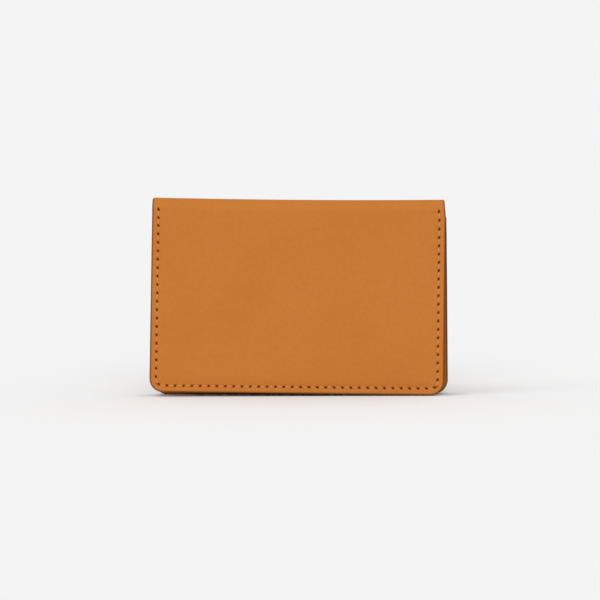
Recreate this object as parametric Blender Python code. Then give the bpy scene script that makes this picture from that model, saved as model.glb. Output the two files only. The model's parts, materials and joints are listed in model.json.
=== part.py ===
"""Bifold card wallet, closed, standing on its open edges with the fold on top.

The outer shell is one piece of leather that bends over the fold. Here it is two panels and two
strips between them, curved along the fold and hinged to each other, so that the fold can be laid
flat. Each half carries a slip pocket and a card pocket, sewn round three sides.

Frame: metres, +X to the right of the front face, +Y away from it, +Z up. The origin is under the
middle of the closed wallet, on the surface that it stands on.
"""
import math

import bmesh
import bpy
from mathutils import Matrix, Vector

MM = 0.001

# Leather
PANEL_WIDTH = 105.0 * MM
CLOSED_HEIGHT = 70.0 * MM      # standing edge to the top of the fold, at mid width
CORNER_RADIUS = 4.8 * MM       # the open corners
SHELL = 1.2 * MM               # outer leather
POCKET = 0.9 * MM              # each pocket panel
CARD_GAP = 2.0 * MM            # between the two halves when they lie parallel
LAYER_GAP = 0.05 * MM          # between panels that are sewn together

# Fold
STRIPS = 2
SPLAY = math.radians(4.0)      # between the halves as the wallet stands
CREASE_SKEW = math.radians(0.43)
SPINE_WAIST = 0.4 * MM         # how much narrower each side is at the fold
HINGE_GAP = 0.05 * MM          # from a strip's end to the plane between it and the next
FRONT_LIFT = 0.02 * MM         # lowest point of the front half above the floor

# Pockets, measured from the top of the fold
SLIP_START = 6.4 * MM
CARD_START = 22.0 * MM
POCKET_CORNER = 1.0 * MM

# Seam
SEAM_INSET = 2.3 * MM
SEAM_START = 0.2 * MM          # from the line where the flat panel begins
THREAD_WIDTH = 0.6 * MM
GROOVE_DEPTH = 0.35 * MM
THREAD_GAP = 0.05 * MM
STEP_RUN = 0.4 * MM            # length over which a thread climbs from one layer to the next
CUT_PROUD = 0.3 * MM           # how far a cutter stands out of the face that it cuts

ARC_STEPS = 8

# Worked out from the sizes above
half_width = PANEL_WIDTH / 2
hinges = STRIPS + 1
layer_pitch = POCKET + LAYER_GAP
fold_thickness = 2 * SHELL + 4 * layer_pitch + CARD_GAP
closed_radius = (fold_thickness - SHELL) / 2
closed_bend = math.pi / hinges
rest_bend = (math.pi - SPLAY) / hinges
strip_length = 2 * closed_radius * math.tan(closed_bend / 2)
fold_radius = strip_length / (2 * math.tan(rest_bend / 2))
half_turn = hinges * rest_bend / 2
fold_rise = fold_radius + SHELL / 2 - strip_length / 2
rear_length = CLOSED_HEIGHT - fold_rise
flat_start = strip_length / 2
slip_start = SLIP_START - fold_rise
card_start = CARD_START - fold_rise
shell_face = SHELL / 2
slip_face = shell_face + layer_pitch
card_face = slip_face + layer_pitch

# The hinge lines lie outside the leather's middle. What is beyond them is trimmed so that it can
# open, and what is below them so that it can close.
outer_radius = fold_radius + SHELL / 2
inner_radius = fold_radius - SHELL / 2
hinge_radius = fold_radius / math.cos(rest_bend / 2)
beyond_hinge = max(0.0, outer_radius - hinge_radius)
outer_trim = HINGE_GAP + beyond_hinge * math.tan(rest_bend / 2)
inner_trim = HINGE_GAP + (hinge_radius - inner_radius) * math.tan((closed_bend - rest_bend) / 2)


def clear_scene():
    for old in list(bpy.data.objects):
        bpy.data.objects.remove(old, do_unlink=True)


def make_material(name, colour, roughness):
    material = bpy.data.materials.new(name)
    material.use_nodes = True
    shader = material.node_tree.nodes["Principled BSDF"]
    shader.inputs["Base Color"].default_value = (*colour, 1.0)
    shader.inputs["Roughness"].default_value = roughness
    shader.inputs["Metallic"].default_value = 0.0
    return material


def make_frame(name, parent, location=(0.0, 0.0, 0.0), turn=(0.0, 0.0, 0.0)):
    """An empty that places what is parented to it."""
    frame = bpy.data.objects.new(name, None)
    bpy.context.collection.objects.link(frame)
    frame.parent = parent
    frame.location = location
    frame.rotation_euler = turn
    return frame


def add_piece(name, body, parent, material):
    """Turns a bmesh into a named object, with its faces pointing out."""
    bmesh.ops.recalc_face_normals(body, faces=body.faces)
    mesh = bpy.data.meshes.new(name)
    body.to_mesh(mesh)
    body.free()
    mesh.materials.append(material)
    piece = bpy.data.objects.new(name, mesh)
    bpy.context.collection.objects.link(piece)
    piece.parent = parent
    return piece


def loft(stations):
    """A closed body through outlines of (x, z) points, each at its own y, capped at both ends."""
    body = bmesh.new()
    rings = [[body.verts.new((x, y, z)) for x, z in outline] for y, outline in stations]
    count = len(rings[0])
    for ring, after in zip(rings, rings[1:]):
        for i in range(count):
            j = (i + 1) % count
            body.faces.new((ring[i], ring[j], after[j], after[i]))
    body.faces.new(rings[0])
    body.faces.new(list(reversed(rings[-1])))
    return body


def arc(centre_x, centre_z, radius, start, end):
    points = []
    for i in range(ARC_STEPS + 1):
        angle = start + (end - start) * i / ARC_STEPS
        points.append((centre_x + radius * math.cos(angle), centre_z + radius * math.sin(angle)))
    return points


def crease_z(x):
    """The crease crosses each panel slightly out of square."""
    return -x * math.tan(CREASE_SKEW)


def open_corners(side, length, radius, inset=0.0):
    """The two rounded corners at the open edge, from right to left."""
    x = half_width - radius - inset
    z = side * (length - radius - inset)
    quarter = side * math.pi / 2
    return arc(x, z, radius, 0, quarter) + arc(-x, z, radius, quarter, 2 * quarter)


def fold_width(turn):
    """Half the leather's width at an angle round the fold, measured from the rear panel."""
    to_pockets = fold_radius * half_turn + slip_start - flat_start
    from_top = fold_radius * abs(turn - half_turn)
    return half_width - SPINE_WAIST * (1 - from_top / to_pockets)


def fold_rows(middle, first, last, turn):
    """Rows of four corners across the curved leather, between two angles from a link's middle.

    middle is the z of the link's middle in its own frame, and turn its angle round the fold. The
    rows at -rest_bend / 2 and +rest_bend / 2 are trimmed, because a hinge line is there.
    """
    rows = []
    for i in range(ARC_STEPS + 1):
        angle = first + (last - first) * i / ARC_STEPS
        half = fold_width(turn + angle)
        ends = []
        for radius, trim in ((outer_radius, outer_trim), (inner_radius, inner_trim)):
            limit = rest_bend / 2 - trim / radius
            here = min(max(angle, -limit), limit)
            ends.append((radius * math.cos(here) - fold_radius, middle + radius * math.sin(here)))
        (outer_y, outer_z), (inner_y, inner_z) = ends
        rows.append([Vector((-half, outer_y, outer_z)), Vector((half, outer_y, outer_z)),
                     Vector((half, inner_y, inner_z)), Vector((-half, inner_y, inner_z))])
    return rows


def sweep(rows):
    """A closed body through rows of four corners, capped at both ends."""
    body = bmesh.new()
    rings = [[body.verts.new(corner) for corner in row] for row in rows]
    for ring, after in zip(rings, rings[1:]):
        for i in range(4):
            j = (i + 1) % 4
            body.faces.new((ring[i], ring[j], after[j], after[i]))
    body.faces.new(rings[0])
    body.faces.new(list(reversed(rings[-1])))
    return body


def flat_row(half, z):
    return [Vector((-half, shell_face, z)), Vector((half, shell_face, z)),
            Vector((half, -shell_face, z)), Vector((-half, -shell_face, z))]


def shell_rows(side, length):
    """A shell panel: its share of the curved fold, then flat, with rounded open corners."""
    turn = 0.0 if side < 0 else 2 * half_turn
    bent = fold_rows(side * flat_start, -side * rest_bend / 2, 0.0, turn)
    square = Matrix.Rotation(CREASE_SKEW, 3, "Y")
    rows = [[square @ corner for corner in row] for row in bent]
    rows.append(flat_row(half_width, side * slip_start))
    for x, z in arc(half_width - CORNER_RADIUS, side * (length - CORNER_RADIUS), CORNER_RADIUS,
                    0.0, side * math.pi / 2):
        rows.append(flat_row(x, z))
    return rows


def pocket_outline(side, start, length):
    """A pocket panel, with small rounds at its mouth."""
    x = half_width - POCKET_CORNER
    z = side * (start + POCKET_CORNER)
    quarter = side * math.pi / 2
    right = arc(x, z, POCKET_CORNER, -quarter, 0)
    left = arc(-x, z, POCKET_CORNER, 2 * quarter, 3 * quarter)
    return right + open_corners(side, length, CORNER_RADIUS) + left


def seam_route(side, length, stops):
    """The seam's (x, z, face) points down the right side, along the open edge and up the left.

    stops are (distance from the hinge line, face) pairs, and face is the surface that the
    thread lies in, as a distance from the shell's neutral plane.
    """
    edge = half_width - SEAM_INSET
    start, face = stops[0]
    right = [(edge, crease_z(edge) + side * start, face)]
    right += [(edge, side * distance, face) for distance, face in stops[1:]]
    left = [(-edge, side * distance, face) for distance, face in reversed(stops[1:])]
    left += [(-edge, crease_z(-edge) + side * start, face)]
    last = stops[-1][1]
    bend = open_corners(side, length, CORNER_RADIUS - SEAM_INSET, SEAM_INSET)
    return right + [(x, z, last) for x, z in bend] + left


def ribbon(route, normal, width, deep, proud, overrun=0.0):
    """A bar along a route, from deep below the face to proud above it; normal is +1 or -1."""
    points = [Vector((x, z)) for x, z, face in route]
    points[0] += (points[0] - points[1]).normalized() * overrun
    points[-1] += (points[-1] - points[-2]).normalized() * overrun
    rows = []
    for i, (point, (x, z, face)) in enumerate(zip(points, route)):
        before = points[max(i - 1, 0)]
        after = points[min(i + 1, len(points) - 1)]
        along = (after - before).normalized()
        across = Vector((along.y, -along.x)) * width / 2
        low = normal * (face - deep)
        high = normal * (face + proud)
        row = []
        for sign, y in ((-1, low), (1, low), (1, high), (-1, high)):
            place = point + sign * across
            row.append(Vector((place.x, y, place.y)))
        rows.append(row)
    return sweep(rows)


def cut(piece, cutter):
    groove = piece.modifiers.new(cutter.name, "BOOLEAN")
    groove.operation = "DIFFERENCE"
    groove.solver = "EXACT"
    groove.object = cutter


def make_cutter(name, route, normal, parent, material):
    body = ribbon(route, normal, THREAD_WIDTH + 2 * THREAD_GAP, GROOVE_DEPTH, CUT_PROUD, THREAD_GAP)
    cutter = add_piece(name, body, parent, material)
    cutter.hide_render = True
    cutter.display_type = "WIRE"
    return cutter


def make_half(name, side, length, parent, leather, thread):
    """One half: shell panel, slip pocket, card pocket, and the two threads of their seam.

    side is -1 where the panel lies below its hinge line in its own frame, and +1 where above.
    """
    shell = add_piece(name + "_shell", sweep(shell_rows(side, length)), parent, leather)

    slip = pocket_outline(side, slip_start, length)
    slip = loft([(-shell_face - LAYER_GAP, slip), (-slip_face, slip)])
    slip = add_piece(name + "_slip_pocket", slip, parent, leather)

    card = pocket_outline(side, card_start, length)
    card = loft([(-slip_face - LAYER_GAP, card), (-card_face, card)])
    card = add_piece(name + "_card_pocket", card, parent, leather)

    seam_start = flat_start + SEAM_START
    outer = seam_route(side, length, [(seam_start, shell_face)])
    steps = [(seam_start, shell_face)]
    for start, below, above in ((slip_start, shell_face, slip_face), (card_start, slip_face, card_face)):
        steps += [(start - STEP_RUN - THREAD_GAP, below), (start - THREAD_GAP, above)]
    inner = seam_route(side, length, steps)

    outer_groove = make_cutter(name + "_outer_groove", outer, 1, parent, thread)
    inner_groove = make_cutter(name + "_inner_groove", inner, -1, parent, thread)
    cut(shell, outer_groove)
    for layer in (shell, slip, card):
        cut(layer, inner_groove)

    for kind, route, normal in (("needle", outer, 1), ("bobbin", inner, -1)):
        bar = ribbon(route, normal, THREAD_WIDTH, GROOVE_DEPTH - THREAD_GAP, 0.0)
        add_piece(f"{name}_{kind}_thread", bar, parent, thread)


def make_strip(number, parent, leather):
    """One curved strip of the fold, between two hinge lines."""
    rows = fold_rows(flat_start, -rest_bend / 2, rest_bend / 2, number * rest_bend)
    add_piece(f"spine_strip_{number}", sweep(rows), parent, leather)


clear_scene()
tan_leather = make_material("tan_leather", (0.565, 0.195, 0.040), 0.55)
tan_thread = make_material("tan_thread", (0.61, 0.24, 0.07), 0.70)

# The rear half stands upright. From its hinge line the fold turns by an equal step at each hinge.
rear_frame = make_frame("rear_half", None, location=(0.0, 0.0, rear_length))
link = make_frame("crease", rear_frame, turn=(0.0, CREASE_SKEW, 0.0))
reach = 0.0
for number in range(1, STRIPS + 1):
    link = make_frame(f"spine_hinge_{number}", link, (0.0, 0.0, reach), (rest_bend, 0.0, 0.0))
    make_strip(number, link, tan_leather)
    reach = strip_length
link = make_frame("front_hinge", link, (0.0, 0.0, reach), (rest_bend, 0.0, 0.0))
front_frame = make_frame("front_half", link, turn=(0.0, -CREASE_SKEW, 0.0))

# The front half is as long as it can be without pushing its lower corner into the floor.
bpy.context.view_layer.update()
placed = front_frame.matrix_world
above_foot = (placed @ Vector((half_width - CORNER_RADIUS, -card_face, 0.0))).z
drop = (placed.to_3x3() @ Vector((0.0, 0.0, 1.0))).z
front_length = (FRONT_LIFT - above_foot) / drop

# The whole wallet is centred over the origin.
foot = placed @ Vector((-half_width, shell_face, front_length))
rear_frame.location.x = -(foot.x + half_width) / 2
rear_frame.location.y = -(foot.y + shell_face) / 2

make_half("rear", -1, rear_length, rear_frame, tan_leather, tan_thread)
make_half("front", 1, front_length, front_frame, tan_leather, tan_thread)
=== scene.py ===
"""A bifold card wallet in tan leather, closed and standing on its open edges with the fold on top.

The outer leather is cut flat, has its pockets sewn in round three sides, and is then folded. Each
piece here is made the same way: flat on the blank, sewn, and then taken over the fold.
"""
import json
import math

import bpy
from mathutils import Matrix, Vector


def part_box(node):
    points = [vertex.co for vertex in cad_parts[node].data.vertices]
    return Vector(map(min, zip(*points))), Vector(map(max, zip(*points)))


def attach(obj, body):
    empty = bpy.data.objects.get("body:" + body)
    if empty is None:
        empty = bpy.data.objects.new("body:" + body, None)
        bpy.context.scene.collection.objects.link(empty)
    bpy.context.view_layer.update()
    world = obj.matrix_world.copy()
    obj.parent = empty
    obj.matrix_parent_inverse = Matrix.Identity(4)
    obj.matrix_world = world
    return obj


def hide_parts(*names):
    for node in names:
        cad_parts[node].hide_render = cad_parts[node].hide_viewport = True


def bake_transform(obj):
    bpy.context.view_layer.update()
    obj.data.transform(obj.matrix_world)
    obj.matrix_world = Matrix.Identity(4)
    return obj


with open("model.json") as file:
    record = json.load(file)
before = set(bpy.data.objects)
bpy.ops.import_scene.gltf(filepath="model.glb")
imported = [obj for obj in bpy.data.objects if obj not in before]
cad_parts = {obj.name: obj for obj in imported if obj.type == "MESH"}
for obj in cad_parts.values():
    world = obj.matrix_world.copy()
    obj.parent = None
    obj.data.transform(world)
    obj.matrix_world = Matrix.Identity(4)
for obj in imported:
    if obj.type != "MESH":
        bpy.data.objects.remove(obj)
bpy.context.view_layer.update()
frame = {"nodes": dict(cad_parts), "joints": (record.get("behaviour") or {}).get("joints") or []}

MM = 0.001

# The blank and its fold. One piece of 1.2 mm leather bends over in a half circle, and its two
# halves stand a few degrees apart. The crease runs slightly out of square to the panels, and the
# fold has settled a little lower in the middle than at its ends, and to the right than to the left.
CORNER = 4.8 * MM           # radius of the open corners
WAIST_LEFT = 0.35 * MM      # how far the leather draws in at the fold's left end
WAIST_RIGHT = 0.7 * MM      # and at its right end, on top
WAIST_BEHIND = 1.3 * MM     # and at its right end, behind the top
WAIST_DEEPENS = 3 * MM      # behind the fold's middle, where it has drawn in that far
WAIST_REACH = 20 * MM       # below the rear pockets' mouths, where it has come out again
BOW = 0.44 * MM             # how much lower the fold's middle is than its ends
TILT = 0.33 * MM            # how much higher its left end is, and how much lower its right end
SQUARED_BY = 9.0 * MM       # below the fold, where the panel is square again
LEVEL_BY = 26.0 * MM        # below the fold, where the bow has died out

rear_hinge, middle_hinge, front_hinge = (Vector(joint["pos_m"]) for joint in frame["joints"])
skew = Matrix.Rotation(math.asin(frame["joints"][0]["axis"][2]), 4, "Y")
bend = math.radians(frame["joints"][0]["range_deg"][1])
strip = (middle_hinge - rear_hinge).length
fold_radius = strip / (2 * math.tan(bend / 2))
half_turn = 1.5 * bend
half_arc = fold_radius * half_turn
join = fold_radius * bend / 2

rear_frame = Matrix.Translation(rear_hinge)
front_frame = (Matrix.Translation(front_hinge) @ skew @ Matrix.Rotation(2 * half_turn, 4, "X")
               @ skew.inverted())
rear_low, rear_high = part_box("rear_shell")
half_width = (rear_high.x - rear_low.x) / 2
shell_half = rear_high.y - rear_hinge.y
in_front = front_frame.inverted()
front_reach = max((in_front @ v.co).z for v in frame["nodes"]["front_shell"].data.vertices)
blank_ends = {-1: half_arc + rear_hinge.z - rear_low.z - strip / 2,
              1: half_arc + front_reach - strip / 2}
slip_mouth = half_arc + rear_hinge.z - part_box("rear_slip_pocket")[1].z - strip / 2
card_mouth = half_arc + rear_hinge.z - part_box("rear_card_pocket")[1].z - strip / 2


def ease(value, low, high):
    """0 up to low, 1 from high on, and smooth between them."""
    share = min(max((value - low) / (high - low), 0.0), 1.0)
    return share * share * (3 - 2 * share)


def waist(across, along):
    """How far the cut edge draws in. On the left it comes out again slowly, down to the open edge.
    On the right it is out again where the front pockets begin, but on the rear half only beside
    the pockets."""
    if across < 0:
        return WAIST_LEFT * (1 - abs(along) / blank_ends[-1])
    if along > 0:
        return WAIST_RIGHT * max(0.0, 1 - along / slip_mouth)
    deepest = WAIST_RIGHT + (WAIST_BEHIND - WAIST_RIGHT) * ease(-along, 0, WAIST_DEEPENS)
    return deepest * (1 - ease(-along, slip_mouth, slip_mouth + WAIST_REACH))


def fold_over(across, out, along):
    """Takes a point of the flat blank to its place on the folded wallet.

    out is its height above the middle of the leather, and along its distance from the middle of
    the fold: below 0 on the rear half and above 0 on the front half.
    """
    side = -1 if along < 0 else 1
    past = abs(along) - half_arc
    across *= 1 - waist(across, along) / half_width
    if past < 0:
        turn = half_turn + along / fold_radius
        radius = fold_radius + out
        place = Vector((across, radius * math.cos(turn) - fold_radius,
                        radius * math.sin(turn) - strip / 2))
        place = rear_frame @ (skew @ place)
    else:
        straight = Vector((across, out, side * (strip / 2 + past)))
        place = (skew @ straight).lerp(straight, ease(past, 0, SQUARED_BY))
        place = (rear_frame if side < 0 else front_frame) @ place
    share = across / half_width
    lift = BOW * (share ** 2 - 1) - TILT * share
    place.z += lift * (1 - ease(past, 0, LEVEL_BY))
    return place


# The tan leather: vegetable-tanned cowhide with a satin finish. Its grain is fine, its colour clouds
# slightly, its cut edges are burnished dark brown and darkened further with painted shade, and its
# needle holes are painted deep brown as shade.
CLOUDED = (0.90, 0.84, 0.74)                # the tan's darker clouds, as a share of the tan
PALE_CLOUD = (0.66, 0.27, 0.07)
PORE = (0.27, 0.065, 0.008)
FLESH_SIDE = (0.33, 0.155, 0.055)
# burnished edges' own dark brown, made darker still as painted shade
BURNISHED_EDGE_AND_SHADE = (0.080, 0.021, 0.003)
# painted shade inside the needle slots
NEEDLE_HOLE_SHADE = (0.105, 0.015, 0.0006)
EDGE_DULLNESS = 0.35                        # how much rougher a burnished edge is than the face


def tan_leather(name, tan, roughness):
    leather = bpy.data.materials.new(name)
    leather.use_nodes = True
    nodes, links = leather.node_tree.nodes, leather.node_tree.links
    shader = nodes["Principled BSDF"]
    shader.inputs["Specular IOR Level"].default_value = 0.14
    place = nodes.new("ShaderNodeTexCoord")

    def noise(scale, detail):
        texture = nodes.new("ShaderNodeTexNoise")
        texture.inputs["Scale"].default_value = scale
        texture.inputs["Detail"].default_value = detail
        links.new(place.outputs["Object"], texture.inputs["Vector"])
        return texture.outputs["Fac"]

    def spread(value, low, high):
        """The middle of a texture's values, stretched from low to high."""
        reach = nodes.new("ShaderNodeMapRange")
        reach.inputs["From Min"].default_value = 0.3
        reach.inputs["From Max"].default_value = 0.7
        reach.inputs["To Min"].default_value = low
        reach.inputs["To Max"].default_value = high
        links.new(value, reach.inputs["Value"])
        return reach.outputs["Result"]

    def tint(below, colour, share):
        layer = nodes.new("ShaderNodeMix")
        layer.data_type = "RGBA"
        links.new(share, layer.inputs["Factor"])
        if isinstance(below, tuple):
            layer.inputs["A"].default_value = (*below, 1)
        else:
            links.new(below, layer.inputs["A"])
        layer.inputs["B"].default_value = (*colour, 1)
        return layer.outputs["Result"]

    def point_mask(attribute):
        mask = nodes.new("ShaderNodeAttribute")
        mask.attribute_name = attribute
        return mask.outputs["Fac"]

    deep = tuple(c * s for c, s in zip(tan, CLOUDED))
    colour = tint(tan, deep, spread(noise(42, 3), 0.0, 0.55))
    colour = tint(colour, PALE_CLOUD, spread(noise(640, 2), 0.0, 0.06))
    colour = tint(colour, PORE, spread(noise(2600, 2), 0.0, 0.14))
    colour = tint(colour, FLESH_SIDE, point_mask("flesh_side"))
    # the burnished edges, darkened further with painted shade
    colour = tint(colour, BURNISHED_EDGE_AND_SHADE, point_mask("burnish_and_shade"))
    # painted shade inside the needle slots
    colour = tint(colour, NEEDLE_HOLE_SHADE, point_mask("needle_hole_shade"))
    links.new(colour, shader.inputs["Base Color"])

    satin = spread(noise(900, 3), roughness - 0.05, roughness + 0.07)
    dulled = nodes.new("ShaderNodeMath")
    dulled.operation = "MULTIPLY_ADD"
    dulled.inputs[1].default_value = EDGE_DULLNESS
    links.new(point_mask("burnish_and_shade"), dulled.inputs[0])
    links.new(satin, dulled.inputs[2])
    links.new(dulled.outputs["Value"], shader.inputs["Roughness"])

    pebbles = nodes.new("ShaderNodeTexVoronoi")
    pebbles.feature = "SMOOTH_F1"
    pebbles.inputs["Scale"].default_value = 2300
    links.new(place.outputs["Object"], pebbles.inputs["Vector"])
    creases, fine_grain = noise(260, 4), noise(5200, 2)
    previous = None
    for height, strength, reach in ((creases, 0.12, 0.10), (pebbles.outputs["Distance"], 0.22, 0.05),
                                    (fine_grain, 0.16, 0.03)):
        grain = nodes.new("ShaderNodeBump")
        grain.inputs["Strength"].default_value = strength
        grain.inputs["Distance"].default_value = reach * MM
        links.new(height, grain.inputs["Height"])
        if previous:
            links.new(previous, grain.inputs["Normal"])
        previous = grain.outputs["Normal"]
    links.new(previous, shader.inputs["Normal"])
    return leather


shell_leather = tan_leather("tan_shell_leather", (0.430, 0.141, 0.0175), 0.56)
pocket_leather = tan_leather("tan_pocket_leather", (0.410, 0.134, 0.0185), 0.60)

# The outer leather. It is cut as one blank, and here it is three lengths that meet at two hidden
# joins in the fold. The seam pulls its face down, the needle has left slanted slots in it, and the
# panel puffs up a little inside.
COLUMNS = 72
SEAM_FROM = half_arc + 0.2 * MM
PITCH = 2.98 * MM
THREAD = 0.6 * MM
SLOT_LENGTH = 1.50 * MM
SLOT_WIDTH = 0.80 * MM
SLOT_DEPTH = 0.50 * MM
SLOT_SLANT = math.radians(14)
SEAM_GROOVE = 0.13 * MM     # how far the seam presses the leather down
SEAM_RIPPLE = 0.035 * MM    # how much more it does so at a slot, and how much less between two
GROOVE_WIDTH = 0.75 * MM
GROOVE_STARTS = (-2.0 * MM, 1.0 * MM)       # from the seam's end, where the groove sets in
PUFF_RISES = 1.7 * MM       # inside the seam, over which the panel swells
PUFF_DIES = 8 * MM          # and over which it falls back to a quarter
PUFF_FULL_BY = 9 * MM       # below the fold, where the panel swells in full
SHELL_PUFF = 0.24 * MM
SHELL_RIM = 0.36 * MM       # rounding of the outer leather's cut edges
BURNISH_AND_SHADE_FADES = (0.02 * MM, 0.42 * MM)      # in from a cut edge, from fully burnished and painted dark to plain
FULLY_DARK = 0.55           # slot share from which a needle hole's painted shade is full
HAIR = 0.05 * MM            # the narrow row beside a join, which keeps the shading even across it
BESIDE_FOLD = (1.5, 0.8, 0.4, 0.0)          # rows above the pockets' mouths, in mm
CLEAR_OF_ENDS = 0.13        # share of a length, in from each end, where bends takes its two fold points

cell = 2 * half_width / COLUMNS
thread_low, thread_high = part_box("rear_needle_thread")
seam_inset = half_width - (thread_high.x - thread_low.x) / 2 + THREAD / 2


def seam_place(across, along, end):
    """How far along the seam a point is, from the seam's end at the fold, and how far in from the
    cut edge."""
    right = abs(across) - (half_width - CORNER)
    down = along - (end - CORNER)
    straight = end - CORNER - SEAM_FROM
    curve = CORNER - seam_inset
    if right > 0 and down > 0:
        return straight + curve * math.atan2(down, right), CORNER - math.hypot(right, down)
    if down > right:
        return straight + curve * math.pi / 2 - right, CORNER - down
    return straight + down, CORNER - right


def seam_length(end):
    return 2 * (end - CORNER - SEAM_FROM + (CORNER - seam_inset) * math.pi / 2
                + half_width - CORNER)


def stitch_pitch(end):
    return seam_length(end) / round(seam_length(end) / PITCH)


def slot_share(across, along, end):
    """1 in the middle of a needle slot and 0 outside it."""
    run, inside = seam_place(across, along, end)
    pitch = stitch_pitch(end)
    run -= pitch * round(run / pitch)
    off = inside - seam_inset
    if along < SEAM_FROM - SLOT_LENGTH:
        return 0.0
    long = run * math.cos(SLOT_SLANT) + off * math.sin(SLOT_SLANT)
    wide = off * math.cos(SLOT_SLANT) - run * math.sin(SLOT_SLANT)
    return max(0.0, 1 - (2 * long / SLOT_LENGTH) ** 2 - (2 * wide / SLOT_WIDTH) ** 2)


def sewn_height(across, along, end, puff):
    """How far the sewn face stands above or below the flat leather."""
    run, inside = seam_place(across, along, end)
    off = inside - seam_inset
    near = math.exp(-(off / GROOVE_WIDTH) ** 2)
    started = ease(along, SEAM_FROM + GROOVE_STARTS[0], SEAM_FROM + GROOVE_STARTS[1])
    swell = (1 - math.exp(-(off / PUFF_RISES) ** 2)) if off > 0 else 0.0
    height = puff * swell * (0.25 + 0.75 * math.exp(-max(off, 0) / PUFF_DIES))
    height *= ease(along, half_arc, half_arc + PUFF_FULL_BY)
    ripple = math.cos(2 * math.pi * run / stitch_pitch(end))
    height -= started * near * (SEAM_GROOVE + SEAM_RIPPLE * ripple)
    height -= SLOT_DEPTH * math.sqrt(slot_share(across, along, end))
    return height


def lay_flat(name, rows, face, back):
    """A flat length of leather on the blank, solid from its face to its back."""
    bpy.ops.object.select_all(action="DESELECT")
    bpy.ops.mesh.primitive_grid_add(x_subdivisions=COLUMNS, y_subdivisions=len(rows) - 1, size=1)
    blank = bpy.context.object
    blank.name = blank.data.name = name
    for vertex in blank.data.vertices:
        row = round((vertex.co.y + 0.5) * (len(rows) - 1))
        vertex.co = (2 * half_width * vertex.co.x, back, rows[row])
    body = blank.modifiers.new("thickness", "SOLIDIFY")
    body.thickness = abs(face - back)
    body.offset = -1 if face > back else 1
    bpy.ops.object.modifier_apply(modifier="thickness")
    return blank


def select_faces(piece, wanted):
    bpy.ops.object.mode_set(mode="EDIT")
    bpy.ops.mesh.select_mode(type="FACE")
    bpy.ops.mesh.select_all(action="DESELECT")
    bpy.ops.object.mode_set(mode="OBJECT")
    for polygon in piece.data.polygons:
        polygon.select = wanted(polygon.center, polygon.normal)
    bpy.ops.object.mode_set(mode="EDIT")


def select_edges(piece, wanted):
    bpy.ops.object.mode_set(mode="EDIT")
    bpy.ops.mesh.select_mode(type="EDGE")
    bpy.ops.mesh.select_all(action="DESELECT")
    bpy.ops.object.mode_set(mode="OBJECT")
    points = piece.data.vertices
    for edge in piece.data.edges:
        edge.select = wanted(points[edge.vertices[0]].co, points[edge.vertices[1]].co)
    bpy.ops.object.mode_set(mode="EDIT")


def refine_margin(piece, end, face, sewn):
    """Finer faces along the cut edges, and finer still where the seam runs."""
    def along_edge(centre, normal):
        inside = seam_place(centre.x, abs(centre.z), end)[1]
        return inside < 4 * cell and (abs(normal.y) < 0.5 or normal.y * face > 0)

    def in_seam(centre, normal):
        inside = seam_place(centre.x, abs(centre.z), end)[1]
        return cell < inside < 2 * cell and normal.y * face > 0 and sewn[0] < centre.z < sewn[1]

    select_faces(piece, along_edge)
    bpy.ops.mesh.subdivide(number_cuts=1)
    if sewn:
        select_faces(piece, in_seam)
        bpy.ops.mesh.subdivide(number_cuts=3)
    bpy.ops.object.mode_set(mode="OBJECT")


def round_open_corners(piece, end):
    """Draws the square open corners in to their radius."""
    for vertex in piece.data.vertices:
        right = abs(vertex.co.x) - (half_width - CORNER)
        down = vertex.co.z - (end - CORNER)
        if right > 0 and down > 0:
            reach = max(right, down)
            turn = math.pi / 4 * min(right, down) / reach
            if down > right:
                turn = math.pi / 2 - turn
            vertex.co.x = math.copysign(half_width - CORNER + reach * math.cos(turn), vertex.co.x)
            vertex.co.z = end - CORNER + reach * math.sin(turn)


def round_rims(piece, width, joins=()):
    """Rounds every cut edge, but not the hidden joins."""
    bpy.ops.object.mode_set(mode="EDIT")
    bpy.ops.mesh.select_mode(type="EDGE")
    bpy.ops.mesh.select_all(action="DESELECT")
    bpy.ops.mesh.edges_select_sharp(sharpness=math.radians(60))
    bpy.ops.object.mode_set(mode="OBJECT")
    points = piece.data.vertices
    for edge in piece.data.edges:
        ends = [points[i].co for i in edge.vertices]
        if any(all(abs(point.z - at) < 0.1 * HAIR for point in ends) for at in joins):
            edge.select = False
    bpy.ops.object.mode_set(mode="EDIT")
    bpy.ops.mesh.bevel(offset=width, segments=3, affect="EDGES", clamp_overlap=True)
    bpy.ops.object.mode_set(mode="OBJECT")


def work_face(piece, end, face, back, rim, puff, mouth=None, flesh=0.0):
    """Presses the seam, slots and creases into the face, and marks the burnished edges, which are also
    painted darker as shade, the needle holes, which are painted dark as shade, and the flesh side."""
    masks = {mask: piece.data.attributes.new(mask, "FLOAT", "POINT").data
             for mask in ("burnish_and_shade", "needle_hole_shade", "flesh_side")}
    out = 1 if face > back else -1
    for vertex in piece.data.vertices:
        across, level, along = vertex.co
        inside = seam_place(across, along, end)[1]
        if mouth is not None:
            inside = min(inside, along - mouth)
        rise = min(max(1 - (face - level) * out / rim, 0.0), 1.0)
        fall = min(max(1 - (level - back) * out / rim, 0.0), 1.0)
        # burnish mask: the edges' own colour plus painted shade
        masks["burnish_and_shade"][vertex.index].value = 1 - ease(inside, *BURNISH_AND_SHADE_FADES)
        # painted shade inside the needle slots, on the face only
        masks["needle_hole_shade"][vertex.index].value = rise * ease(
            slot_share(across, along, end), 0.0, FULLY_DARK)
        masks["flesh_side"][vertex.index].value = flesh * fall
        if rise > 0:
            height = sewn_height(across, along, end, puff)
            if mouth is not None:
                height -= CREASE_DEPTH * math.exp(-((along - mouth - MOUTH_CREASE) / CREASE_WIDTH) ** 2)
            vertex.co.y += out * rise * height


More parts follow.
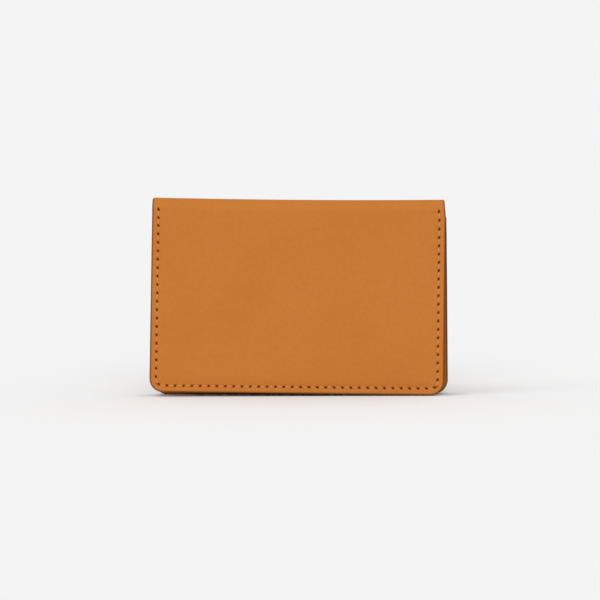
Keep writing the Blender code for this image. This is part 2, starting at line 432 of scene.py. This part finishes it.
def take_over_fold(piece, side, leather, proud=False):
    """Folds the finished length, closes it up and gives it its leather. A rear pocket's right edge
    stays straight, so its mouth corner stands a little proud of the outer leather."""
    for vertex in piece.data.vertices:
        across, level, along = vertex.co
        if proud and across > 0:
            margin = 1 - ease(half_width - across, 0, seam_inset)
            across += waist(across, side * along) * margin
        vertex.co = fold_over(across, level, side * along)
    bpy.ops.object.mode_set(mode="EDIT")
    bpy.ops.mesh.select_all(action="SELECT")
    bpy.ops.mesh.remove_doubles(threshold=0.001 * MM)
    bpy.ops.mesh.normals_make_consistent(inside=False)
    bpy.ops.object.mode_set(mode="OBJECT")
    bpy.ops.object.shade_smooth_by_angle(angle=math.radians(50))
    piece.data.materials.clear()
    piece.data.materials.append(leather)


def fold_line(along):
    return fold_over(0.0, 0.0, along)


def bends(piece, start, end):
    """Works out two points of the fold line well inside the length's share of the fold, and fixes the
    length's placement into its mesh.
    """
    clear = CLEAR_OF_ENDS * (end - start)
    fold_line(start + clear)
    fold_line(end - clear)
    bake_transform(piece)


for side, name, outer_body, inner_body in ((-1, "rear", "rear_half", "spine_1"),
                                           (1, "front", "front_half", "spine_2")):
    end = blank_ends[side]
    rows = [join, join + HAIR]
    rows += [join + HAIR + (half_arc - join - HAIR) * i / 9 for i in range(1, 10)]
    rows += [slip_mouth - step * MM for step in BESIDE_FOLD]
    flat = round((end - slip_mouth) / cell)
    rows += [slip_mouth + (end - slip_mouth) * i / flat for i in range(1, flat + 1)]
    panel = lay_flat(name + "_outer_leather", rows, shell_half, -shell_half)
    refine_margin(panel, end, 1, (SEAM_FROM - 2 * cell, end))
    round_open_corners(panel, end)
    round_rims(panel, SHELL_RIM, (join,))
    work_face(panel, end, shell_half, -shell_half, SHELL_RIM, SHELL_PUFF, flesh=1.0)
    take_over_fold(panel, side, shell_leather)
    if side < 0:
        bends(panel, -half_arc, -join)
        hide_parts("rear_shell")
    else:
        bends(panel, join, half_arc)
        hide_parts("front_shell")

fold_rows = [-join, HAIR - join]
fold_rows += [HAIR - join + 2 * (join - HAIR) * i / 18 for i in range(1, 18)]
fold_rows += [join - HAIR, join]
fold_top = lay_flat("fold_outer_leather", fold_rows, shell_half, -shell_half)
refine_margin(fold_top, blank_ends[-1], 1, None)
round_rims(fold_top, SHELL_RIM, (-join, join))
work_face(fold_top, blank_ends[-1], shell_half, -shell_half, SHELL_RIM, 0.0, flesh=1.0)
take_over_fold(fold_top, 1, shell_leather)
bends(fold_top, -join, join)
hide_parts("spine_strip_1", "spine_strip_2")

# The pockets. Each half has two panels of 0.9 mm leather, a slip pocket with its mouth just
# below the fold and a card pocket in front of it. Their mouths are creased and burnished, with the
# burnish darkened further by painted shade, and the three layers are trimmed together after sewing.
MOUTH_CORNER = 0.3 * MM     # rounding of a pocket's two corners at its mouth
POCKET_RIM = 0.24 * MM
POCKET_PUFF = 0.10 * MM
MOUTH_CREASE = 1.8 * MM     # below the mouth
CREASE_WIDTH = 0.28 * MM
CREASE_DEPTH = 0.09 * MM
MOUTH_ROWS = (0, 0.35, 0.8, 1.2, 1.45, 1.62, 1.8, 1.98, 2.15, 2.4, 3.0)    # close at the crease, in mm
SEWN_BELOW = 1.5 * MM       # the mouth, where the finer faces of the seam begin

for side, name, body in ((-1, "rear", "rear_half"), (1, "front", "front_half")):
    for kind, mouth, covered in (("slip", slip_mouth, card_mouth), ("card", card_mouth, None)):
        end = blank_ends[side]
        pocket_low, pocket_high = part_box(f"rear_{kind}_pocket")
        face, back = pocket_low.y - rear_hinge.y, pocket_high.y - rear_hinge.y
        rows = [mouth + step * MM for step in MOUTH_ROWS]
        flat = round((end - rows[-1]) / cell)
        rows += [rows[-1] + (end - rows[-1]) * i / flat for i in range(1, flat + 1)]
        pocket = lay_flat(f"{name}_{kind}_pocket_leather", rows, face, back)
        select_edges(pocket, lambda a, b: abs(a.y - b.y) > HAIR and abs(a.x) > half_width - HAIR
                     and abs(a.z - mouth) < HAIR)
        bpy.ops.mesh.bevel(offset=MOUTH_CORNER, segments=3, affect="EDGES")
        bpy.ops.object.mode_set(mode="OBJECT")
        sewn_to = end if covered is None else covered + 2 * cell
        refine_margin(pocket, end, -1, (mouth + SEWN_BELOW, sewn_to))
        round_open_corners(pocket, end)
        round_rims(pocket, POCKET_RIM)
        work_face(pocket, end, face, back, POCKET_RIM, POCKET_PUFF, mouth=mouth)
        take_over_fold(pocket, side, pocket_leather, proud=side < 0)
        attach(pocket, body)
        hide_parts(f"{name}_{kind}_pocket")

# The seams. One lockstitch seam in bonded thread runs round three sides of each half, with a
# needle thread outside and a bobbin thread inside. A stitch has the outline of two plies twisted
# together, and it dives into a needle slot at each end.
PLY_SWELL = 0.13            # how far the two plies stand out, as a share of the thread's radius
PLY_TWIST = 7.0             # radians that they turn from one end of a stitch to the other
DRAWN_TIGHT = 0.96          # of the thread's thickness, in the middle of a stitch
END_TAPER = 0.12            # how much less of it the ends have
STITCH_SHARE = 0.37         # half a stitch's length, as a share of the pitch
END_SLANT = 0.10 * MM       # how far its ends lie in and out of the seam line
SUNK = 0.16 * MM            # how deep its middle lies
DIVE = 0.50 * MM            # and how much deeper its ends
THREAD_TAN = (0.58, 0.215, 0.048, 1)
THREAD_SHADE = (0.46, 0.150, 0.028, 1)


def seam_point(run, inward, end):
    """The point of the blank at a distance along the whole seam, from right to left."""
    half = seam_length(end) / 2
    hand = 1 if run <= half else -1
    run = run if run <= half else 2 * half - run
    straight = end - CORNER - SEAM_FROM
    curve = CORNER - seam_inset
    if run <= straight:
        return hand * (half_width - seam_inset - inward), SEAM_FROM + run
    if run < straight + curve * math.pi / 2:
        turn = (run - straight) / curve
        return (hand * (half_width - CORNER + (curve - inward) * math.cos(turn)),
                end - CORNER + (curve - inward) * math.sin(turn))
    run -= straight + curve * math.pi / 2
    return hand * (half_width - CORNER - run), end - seam_inset - inward


thread = bpy.data.materials.new("tan_bonded_thread")
thread.use_nodes = True
nodes, links = thread.node_tree.nodes, thread.node_tree.links
shader = nodes["Principled BSDF"]
shader.inputs["Roughness"].default_value = 0.62
shader.inputs["Specular IOR Level"].default_value = 0.25
shader.inputs["Sheen Weight"].default_value = 0.08
shader.inputs["Sheen Roughness"].default_value = 0.4
place = nodes.new("ShaderNodeTexCoord")
fibres = nodes.new("ShaderNodeTexNoise")
fibres.inputs["Scale"].default_value = 7000
fibres.inputs["Detail"].default_value = 2
links.new(place.outputs["Object"], fibres.inputs["Vector"])
dye = nodes.new("ShaderNodeMix")
dye.data_type = "RGBA"
dye.inputs["A"].default_value = THREAD_TAN
dye.inputs["B"].default_value = THREAD_SHADE
links.new(fibres.outputs["Fac"], dye.inputs["Factor"])
links.new(dye.outputs["Result"], shader.inputs["Base Color"])
fuzz = nodes.new("ShaderNodeBump")
fuzz.inputs["Strength"].default_value = 0.3
fuzz.inputs["Distance"].default_value = 0.03 * MM
links.new(fibres.outputs["Fac"], fuzz.inputs["Height"])
links.new(fuzz.outputs["Normal"], shader.inputs["Normal"])

SIDES = 8                   # faces round a stitch
LENGTHS = 8                 # and along it
bpy.ops.object.select_all(action="DESELECT")
bpy.ops.mesh.primitive_cylinder_add(vertices=SIDES, radius=0.5, depth=1 / LENGTHS,
                                    end_fill_type="TRIFAN", location=(0, 0, -0.5 + 0.5 / LENGTHS))
stitch = bpy.context.object
stitch.name = "stitch"
for _ in range(LENGTHS - 1):
    select_faces(stitch, lambda centre, normal: normal.z > 0.5)
    bpy.ops.mesh.extrude_region_move(TRANSFORM_OT_translate={"value": (0, 0, 1 / LENGTHS)})
    bpy.ops.object.mode_set(mode="OBJECT")
bpy.ops.object.transform_apply(location=True, rotation=True, scale=True)

levels = {"slip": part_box("rear_slip_pocket")[0].y - rear_hinge.y,
          "card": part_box("rear_card_pocket")[0].y - rear_hinge.y}
for side, name, body in ((-1, "rear", "rear_half"), (1, "front", "front_half")):
    end = blank_ends[side]
    pitch = stitch_pitch(end)
    count = round(seam_length(end) / pitch)
    for where, out, node in (("outer", 1, "needle"), ("inner", -1, "bobbin")):
        copies = []
        for number in range(count):
            copy = stitch.copy()
            copy.data = stitch.data.copy()
            bpy.context.scene.collection.objects.link(copy)
            copies.append(copy)
            for vertex in copy.data.vertices:
                share = 2 * vertex.co.z
                angle = math.atan2(vertex.co.y, vertex.co.x)
                spoke = math.hypot(vertex.co.x, vertex.co.y)
                ply = 1 + PLY_SWELL * math.cos(2 * angle - PLY_TWIST * share)
                thick = spoke * THREAD * ply * (DRAWN_TIGHT - END_TAPER * share ** 4)
                run = (number + 0.5 + STITCH_SHARE * share) * pitch
                inward = thick * math.cos(angle) + END_SLANT * share
                across, along = seam_point(run, inward, end)
                if out > 0:
                    level = shell_half
                elif along > card_mouth:
                    level = -levels["card"]
                elif along > slip_mouth:
                    level = -levels["slip"]
                else:
                    level = shell_half
                arch = -SUNK - DIVE * abs(share) ** 3
                vertex.co = fold_over(across, out * (level + arch + thick * math.sin(angle)),
                                      side * along)
        bpy.ops.object.select_all(action="DESELECT")
        for copy in copies:
            copy.select_set(True)
        bpy.context.view_layer.objects.active = copies[0]
        bpy.ops.object.join()
        seam = bpy.context.object
        seam.name = seam.data.name = f"{name}_{where}_stitches"
        bpy.ops.object.mode_set(mode="EDIT")
        bpy.ops.mesh.select_all(action="SELECT")
        bpy.ops.mesh.normals_make_consistent(inside=False)
        bpy.ops.object.mode_set(mode="OBJECT")
        bpy.ops.object.shade_smooth_by_angle(angle=math.radians(60))
        seam.data.materials.clear()
        seam.data.materials.append(thread)
        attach(seam, body)
        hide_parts(f"{name}_{node}_thread")
bpy.data.objects.remove(stitch, do_unlink=True)

# The studio: a pale floor, even daylight all round, one large soft lamp high on the left and
# another low in front.
bpy.ops.object.select_all(action="DESELECT")
bpy.ops.mesh.primitive_plane_add(size=16, location=(0, 3, -0.00002))
floor = bpy.context.object
floor.name = "studio_floor"
paper = bpy.data.materials.new("pale_paper")
paper.use_nodes = True
surface = paper.node_tree.nodes["Principled BSDF"]
surface.inputs["Base Color"].default_value = (0.75, 0.75, 0.75, 1)
surface.inputs["Roughness"].default_value = 1.0
surface.inputs["Specular IOR Level"].default_value = 0.0
floor.data.materials.append(paper)

DAYLIGHT = 0.905
world = bpy.data.worlds.new("even_daylight")
bpy.context.scene.world = world
world.use_nodes = True
world.node_tree.nodes["Background"].inputs["Color"].default_value = (1, 1, 1, 1)
world.node_tree.nodes["Background"].inputs["Strength"].default_value = DAYLIGHT

for name, toward, strength, spread in (("high_lamp", (-0.45, -0.32, 0.83), 0.55, 34),
                                       ("front_lamp", (0.06, -0.92, 0.38), 1.29, 40)):
    toward = Vector(toward).normalized()
    bpy.ops.object.light_add(type="SUN", location=toward)
    lamp = bpy.context.object
    lamp.name = name
    lamp.data.energy = strength
    lamp.data.angle = math.radians(spread)
    lamp.rotation_euler = toward.to_track_quat("Z", "Y").to_euler()

AZIMUTH, ELEVATION, ROLL = math.radians(3.7), math.radians(3.5), math.radians(-0.5)
DISTANCE = 1.6              # metres
FOCAL_LENGTH = 269.2        # millimetres, on a sensor 36 mm wide
target = Vector((0.0007, 0.0, 0.0339))
back = Vector((math.sin(AZIMUTH) * math.cos(ELEVATION), -math.cos(AZIMUTH) * math.cos(ELEVATION),
               math.sin(ELEVATION)))
bpy.ops.object.camera_add(location=target + DISTANCE * back)
camera = bpy.context.object
camera.name = "view_from_front"
camera.data.sensor_width = 36
camera.data.lens = FOCAL_LENGTH
camera.data.clip_start = 0.05
camera.data.clip_end = 50
camera.rotation_euler = (back.to_track_quat("Z", "Y").to_matrix()
                         @ Matrix.Rotation(ROLL, 3, "Z")).to_euler()
bpy.context.scene.camera = camera
bpy.context.scene.view_settings.view_transform = "Standard"
